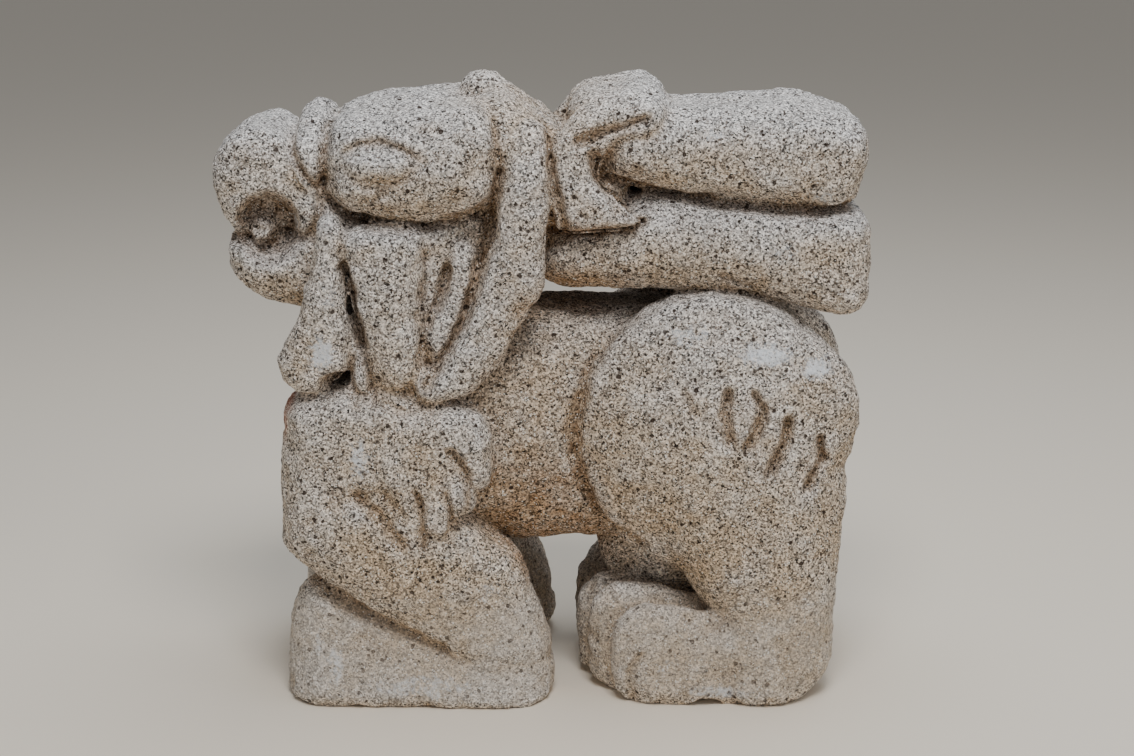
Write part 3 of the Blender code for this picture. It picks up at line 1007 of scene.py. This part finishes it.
@dataclass(frozen=True)
class Grains:
    """A node group that scatters small grains or pores, each of its own size, over a solid pattern."""

    name: str = "scattered_grains"

    def group(self) -> bpy.types.NodeTree:
        """Makes the group, or finds it if it is made.

        Returns:
            The group, with the inputs Vector, Cell, Size, Share and Softness and the output Mask.
        """
        found = bpy.data.node_groups.get(self.name)
        if found is not None:
            return found
        tree = bpy.data.node_groups.new(self.name, "ShaderNodeTree")
        tree.interface.new_socket("Vector", in_out="INPUT", socket_type="NodeSocketVector")
        for name, value in (("Cell", 0.002), ("Size", 0.35), ("Share", 0.5), ("Softness", 0.08)):
            socket = tree.interface.new_socket(name, in_out="INPUT", socket_type="NodeSocketFloat")
            socket.default_value = value
        tree.interface.new_socket("Mask", in_out="OUTPUT", socket_type="NodeSocketFloat")
        nodes = Nodes(tree)
        given = nodes.add("NodeGroupInput").outputs
        result = nodes.add("NodeGroupOutput")
        scale = nodes.math("DIVIDE", 1.0, given["Cell"])

        wobble = nodes.add("ShaderNodeTexNoise")
        nodes.set(wobble.inputs["Vector"], given["Vector"])
        nodes.set(wobble.inputs["Scale"], nodes.math("MULTIPLY", scale, 1.3))
        wobble.inputs["Detail"].default_value = 1.0
        centred = nodes.add("ShaderNodeVectorMath", operation="SUBTRACT")
        nodes.set(centred.inputs[0], wobble.outputs["Color"])
        centred.inputs[1].default_value = (0.5, 0.5, 0.5)
        shifted = nodes.add("ShaderNodeVectorMath", operation="SCALE")
        nodes.set(shifted.inputs[0], centred.outputs[0])
        nodes.set(shifted.inputs["Scale"], nodes.math("MULTIPLY", given["Cell"], 0.45))
        place = nodes.add("ShaderNodeVectorMath", operation="ADD")
        nodes.set(place.inputs[0], given["Vector"])
        nodes.set(place.inputs[1], shifted.outputs[0])

        cells = nodes.add("ShaderNodeTexVoronoi", feature="F1", voronoi_dimensions="3D")
        nodes.set(cells.inputs["Vector"], place.outputs[0])
        nodes.set(cells.inputs["Scale"], scale)
        chance = nodes.add("ShaderNodeSeparateColor")
        nodes.set(chance.inputs["Color"], cells.outputs["Color"])
        own_size = nodes.math("MULTIPLY", chance.outputs["Red"], 0.7)
        radius = nodes.math("MULTIPLY", given["Size"], nodes.math("ADD", own_size, 0.3))
        inside = nodes.math("SUBTRACT", radius, cells.outputs["Distance"])
        edge = nodes.math("DIVIDE", inside, given["Softness"], clamp=True)
        there = nodes.math("LESS_THAN", chance.outputs["Green"], given["Share"])
        nodes.set(result.inputs["Mask"], nodes.math("MULTIPLY", edge, there))
        return tree

    def scatter(
        self, nodes: Nodes, place: bpy.types.NodeSocket, cell: float, size: float, share: float, softness: float
    ) -> bpy.types.NodeSocket:
        """Puts the group in a material.

        Args:
            nodes: The material's nodes.
            place: The socket of the coordinates.
            cell: The mean way from one grain to the next, in metres.
            size: The largest grain's radius, as a share of a cell.
            share: How many of the cells hold a grain.
            softness: The width of a grain's edge, as a share of a cell.

        Returns:
            The socket of the grains' mask.
        """
        group = nodes.add("ShaderNodeGroup", node_tree=self.group())
        nodes.set(group.inputs["Vector"], place)
        for name, value in (("Cell", cell), ("Size", size), ("Share", share), ("Softness", softness)):
            group.inputs[name].default_value = value
        return group.outputs["Mask"]


@dataclass(frozen=True)
class PorousStone:
    """Weathered porous stone: sandy grains on a grey and tan ground, dark pores, ochre staining, lime and dust, with
    painted shade in cuts, hollows, pits and under the body, painted cool light on upward faces and painted highlights
    on convex edges.
    """

    grey: Colour = colour(194, 183, 170)
    tan: Colour = colour(184, 164, 139)
    # Painted highlight on convex edges.
    pale: Colour = colour(222, 219, 216)
    fleck: Colour = colour(252, 249, 243)
    # Painted cool top light: the neutral grey of upward faces.
    top_lit_grey: Colour = colour(188, 185, 183)
    brown_grain: Colour = colour(100, 76, 56)
    # Dark pores in the stone, and the painted shade inside the open pits.
    pore: Colour = colour(52, 39, 31)
    # Ochre staining in cuts and hollows, mixed with painted shade there and on sideways and down-facing faces.
    stain_and_shade: Colour = colour(132, 102, 71)
    # Painted shadow: the darkest cores of the cuts and hollows.
    deep: Colour = colour(86, 65, 46)
    # Painted warm shade under the body.
    belly_shade: Colour = colour(148, 109, 68)
    lime: Colour = colour(234, 238, 243)
    rust: Colour = colour(186, 98, 50)
    dust: Colour = colour(194, 187, 178)
    sand: float = 0.00078
    relief: float = 0.001

    def material(self) -> bpy.types.Material:
        """Makes the material.

        Returns:
            The material, for a mesh that keeps rain, stain, belly, rust, edge, pit, lime and dust.
        """
        stone = bpy.data.materials.new(SLOT)
        stone.use_nodes = True
        nodes = Nodes(stone.node_tree)
        shader = stone.node_tree.nodes["Principled BSDF"]
        shader.inputs["Specular IOR Level"].default_value = 0.2
        place = nodes.add("ShaderNodeTexCoord").outputs["Object"]

        pores = self.pores(nodes, place)
        nodes.set(shader.inputs["Base Color"], self.shade(nodes, place, pores))
        nodes.set(shader.inputs["Normal"], self.bump(nodes, place, pores))
        rough = nodes.ramp(nodes.noise(place, 0.004), -1.2, 1.1)
        nodes.set(shader.inputs["Roughness"], nodes.math("ADD", nodes.math("MULTIPLY", rough, 0.2), 0.78))
        return stone

    def pores(self, nodes: Nodes, place: bpy.types.NodeSocket) -> tuple[bpy.types.NodeSocket, ...]:
        """Scatters the pores.

        Args:
            nodes: The material's nodes.
            place: The socket of the coordinates.

        Returns:
            The masks of the fine, the middling and the large pores.
        """
        grains = Grains()
        fine = grains.scatter(nodes, place, 0.0012, 0.42, 0.45, 0.12)
        middling = grains.scatter(nodes, place, 0.0032, 0.34, 0.34, 0.08)
        large = grains.scatter(nodes, place, 0.0055, 0.25, 0.55, 0.05)
        return fine, middling, large

    def shade(
        self, nodes: Nodes, place: bpy.types.NodeSocket, pores: tuple[bpy.types.NodeSocket, ...]
    ) -> bpy.types.NodeSocket:
        """Works out the colour.

        Args:
            nodes: The material's nodes.
            place: The socket of the coordinates.
            pores: The masks of the pores.

        Returns:
            The socket of the colour.
        """
        grains = Grains()
        ground = nodes.mix(nodes.ramp(nodes.noise(place, 0.045, 4.0, 0.6), 0.32, 0.62), self.grey, self.tan)
        # Painted highlight: paler on convex edges.
        ground = nodes.mix(nodes.math("MULTIPLY", nodes.attribute("edge"), 0.6), ground, self.pale)
        # Painted cool top light on upward faces.
        ground = nodes.mix(nodes.attribute("painted_top_light"), ground, self.top_lit_grey)
        blotch = nodes.ramp(nodes.noise(place, 0.006, 4.0, 0.65), 0.25, 0.75)
        broken = nodes.math("ADD", nodes.math("MULTIPLY", blotch, 0.8), 0.35)
        # Staining and painted shade in cuts, hollows and down-facing faces, broken up by noise.
        stained_and_shaded = nodes.math("MULTIPLY", nodes.attribute("stain_and_shade"), broken, clamp=True)
        ground = nodes.mix(nodes.math("MULTIPLY", stained_and_shaded, 0.7), ground, self.stain_and_shade)
        # Painted shadow in the deepest cuts and hollows.
        ground = nodes.mix(nodes.math("MULTIPLY", nodes.ramp(stained_and_shaded, 0.55, 1.0), 0.45), ground, self.deep)
        # Painted warm shade under the body, broken up by noise.
        under = nodes.math("MULTIPLY", nodes.attribute("belly_shade"), broken, clamp=True)
        ground = nodes.mix(nodes.math("MULTIPLY", under, 0.72), ground, self.belly_shade)

        dusty = nodes.attribute("dust")
        clean = nodes.math("SUBTRACT", 1.0, nodes.math("MULTIPLY", dusty, 0.3))
        speckled = nodes.mix(1.0, ground, self.sand_tone(nodes, place), "MULTIPLY")
        ground = nodes.mix(clean, ground, speckled)
        brown = grains.scatter(nodes, place, 0.0013, 0.52, 0.5, 0.16)
        browned = nodes.math("MULTIPLY", nodes.math("MULTIPLY", brown, 0.5), clean)
        ground = nodes.mix(browned, ground, self.brown_grain)
        fleck = grains.scatter(nodes, place, 0.0011, 0.50, 0.28, 0.12)
        ground = nodes.mix(nodes.math("MULTIPLY", fleck, 0.85), ground, self.fleck)
        ground = nodes.mix(nodes.math("MULTIPLY", nodes.attribute("rust"), 0.8), ground, self.rust)

        crumbs = nodes.math("SUBTRACT", nodes.noise(place, 0.0025, 3.0, 0.7), 0.5)
        lime_edge = nodes.math("ADD", nodes.attribute("lime"), nodes.math("MULTIPLY", blotch, 0.45))
        lime_edge = nodes.math("ADD", lime_edge, nodes.math("MULTIPLY", crumbs, 1.6))
        limed = nodes.math("MULTIPLY", nodes.ramp(lime_edge, 0.6, 1.25), 0.8)
        ground = nodes.mix(limed, ground, self.lime)
        ground = nodes.mix(nodes.math("MULTIPLY", dusty, 0.3), ground, self.dust)

        for mask, strength, dark in zip(pores, (0.75, 0.8, 0.92), (self.brown_grain, self.pore, self.pore)):
            seen = nodes.math("MULTIPLY", nodes.math("MULTIPLY", mask, strength), clean)
            ground = nodes.mix(seen, ground, dark)
        # Painted shade inside the open pits: near-black.
        painted_pit_shade = nodes.math("MULTIPLY", nodes.ramp(nodes.attribute("pit"), 0.2, 0.6), 0.88)
        return nodes.mix(painted_pit_shade, ground, self.pore)

    def sand_tone(self, nodes: Nodes, place: bpy.types.NodeSocket) -> bpy.types.NodeSocket:
        """How light each grain of sand is against the ground.

        Args:
            nodes: The material's nodes.
            place: The socket of the coordinates.

        Returns:
            The socket of a number around 1.
        """
        tones = []
        for size, spread in ((self.sand, 1.95), (2.1 * self.sand, 0.45)):
            cells = nodes.add("ShaderNodeTexVoronoi", feature="F1", voronoi_dimensions="3D")
            nodes.set(cells.inputs["Vector"], place)
            cells.inputs["Scale"].default_value = 1.0 / size
            chance = nodes.add("ShaderNodeSeparateColor")
            nodes.set(chance.inputs["Color"], cells.outputs["Color"])
            swing = nodes.math("MULTIPLY", nodes.math("SUBTRACT", chance.outputs["Red"], 0.5), spread)
            tones.append(nodes.math("ADD", swing, 1.0))
        return nodes.math("MULTIPLY", *tones)

    def bump(
        self, nodes: Nodes, place: bpy.types.NodeSocket, pores: tuple[bpy.types.NodeSocket, ...]
    ) -> bpy.types.NodeSocket:
        """Works out the fine relief.

        Args:
            nodes: The material's nodes.
            place: The socket of the coordinates.
            pores: The masks of the pores.

        Returns:
            The socket of the normal.
        """
        height = nodes.math("MULTIPLY", nodes.noise(place, 0.0010, 2.0, 0.6), 0.8)
        height = nodes.math("ADD", height, nodes.math("MULTIPLY", nodes.noise(place, 0.005, 3.0), 2.0))
        for mask, depth in zip(pores, (0.5, 1.0, 1.8)):
            height = nodes.math("SUBTRACT", height, nodes.math("MULTIPLY", mask, depth))
        node = nodes.add("ShaderNodeBump")
        node.inputs["Strength"].default_value = 0.9
        node.inputs["Distance"].default_value = self.relief
        nodes.set(node.inputs["Height"], height)
        return node.outputs["Normal"]


@dataclass(frozen=True)
class Studio:
    """A plain pale floor, soft light, and a camera at the photograph's viewing angle."""

    aim: Triple = (0.012, 0.0, 0.157)
    distance: float = 1.17
    elevation: float = 14.7
    lens: float = 70.0
    floor_size: float = 18.0
    floor_colour: Colour = colour(242, 231, 214)
    sky: Colour = colour(205, 208, 212)
    sky_strength: float = 0.38

    def build(self) -> None:
        """Sets up the floor, the lights and the camera."""
        self.floor()
        self.light("key_light", (0.08, -0.72, 1.42), 13.0, 0.5)
        self.light("fill_light", (1.1, -0.9, 0.6), 2.4, 1.1)
        self.light("top_light", (0.15, 0.25, 1.25), 6.5, 0.8, (0.86, 0.93, 1.0))
        world = bpy.data.worlds.new("studio_air")
        world.use_nodes = True
        background = world.node_tree.nodes["Background"]
        background.inputs["Color"].default_value = self.sky
        background.inputs["Strength"].default_value = self.sky_strength
        bpy.context.scene.world = world
        self.camera()

    def floor(self) -> None:
        """Lays the floor."""
        deselect_all()
        bpy.ops.mesh.primitive_plane_add(size=self.floor_size)
        floor = bpy.context.active_object
        floor.name = "floor"
        paint = bpy.data.materials.new("floor_paint")
        paint.use_nodes = True
        shader = paint.node_tree.nodes["Principled BSDF"]
        shader.inputs["Base Color"].default_value = self.floor_colour
        shader.inputs["Roughness"].default_value = 0.7
        floor.data.materials.append(paint)

    def light(self, name: str, place: Triple, power: float, size: float, tint: Triple = (1.0, 1.0, 1.0)) -> None:
        """Hangs one soft light that faces the beast.

        Args:
            name: The light's name.
            place: Where it hangs.
            power: Its power, in watts.
            size: The side of its square, in metres.
            tint: Its colour.
        """
        lamp = bpy.data.lights.new(name, "AREA")
        lamp.energy = power
        lamp.color = tint
        lamp.size = size
        holder = bpy.data.objects.new(name, lamp)
        bpy.context.scene.collection.objects.link(holder)
        holder.location = place
        holder.rotation_euler = (Vector(self.aim) - Vector(place)).to_track_quat("-Z", "Y").to_euler()

    def camera(self) -> None:
        """Sets the camera up in front of the near side."""
        rise = math.radians(self.elevation)
        back = Vector((0.0, -math.cos(rise), math.sin(rise)))
        lens = bpy.data.cameras.new("photo_view")
        lens.sensor_width = 36.0
        lens.lens = self.lens
        lens.clip_start = 0.01
        camera = bpy.data.objects.new("photo_view", lens)
        bpy.context.scene.collection.objects.link(camera)
        camera.location = Vector(self.aim) + back * self.distance
        camera.rotation_euler = (-back).to_track_quat("-Z", "Y").to_euler()
        bpy.context.scene.camera = camera


def main() -> None:
    """Builds the beast and its studio."""
    logging.basicConfig(level=logging.INFO, format="%(name)s: %(message)s")
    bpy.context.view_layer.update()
    block = Block(*(Vector(corner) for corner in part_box(NODE)))
    forms = (Torso(), HindLeg(), ForeLeg(), Hand(), Head(), Jowls(), Mane(), Crest())
    beast = Beast(block, forms, Wear()).build()
    beast.data.materials.clear()
    beast.data.materials.append(PorousStone().material())
    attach(beast, "root")
    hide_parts(NODE)
    LOG.info("%s: %d faces", beast.name, len(beast.data.polygons))
    Studio().build()


if __name__ == "__main__":
    main()
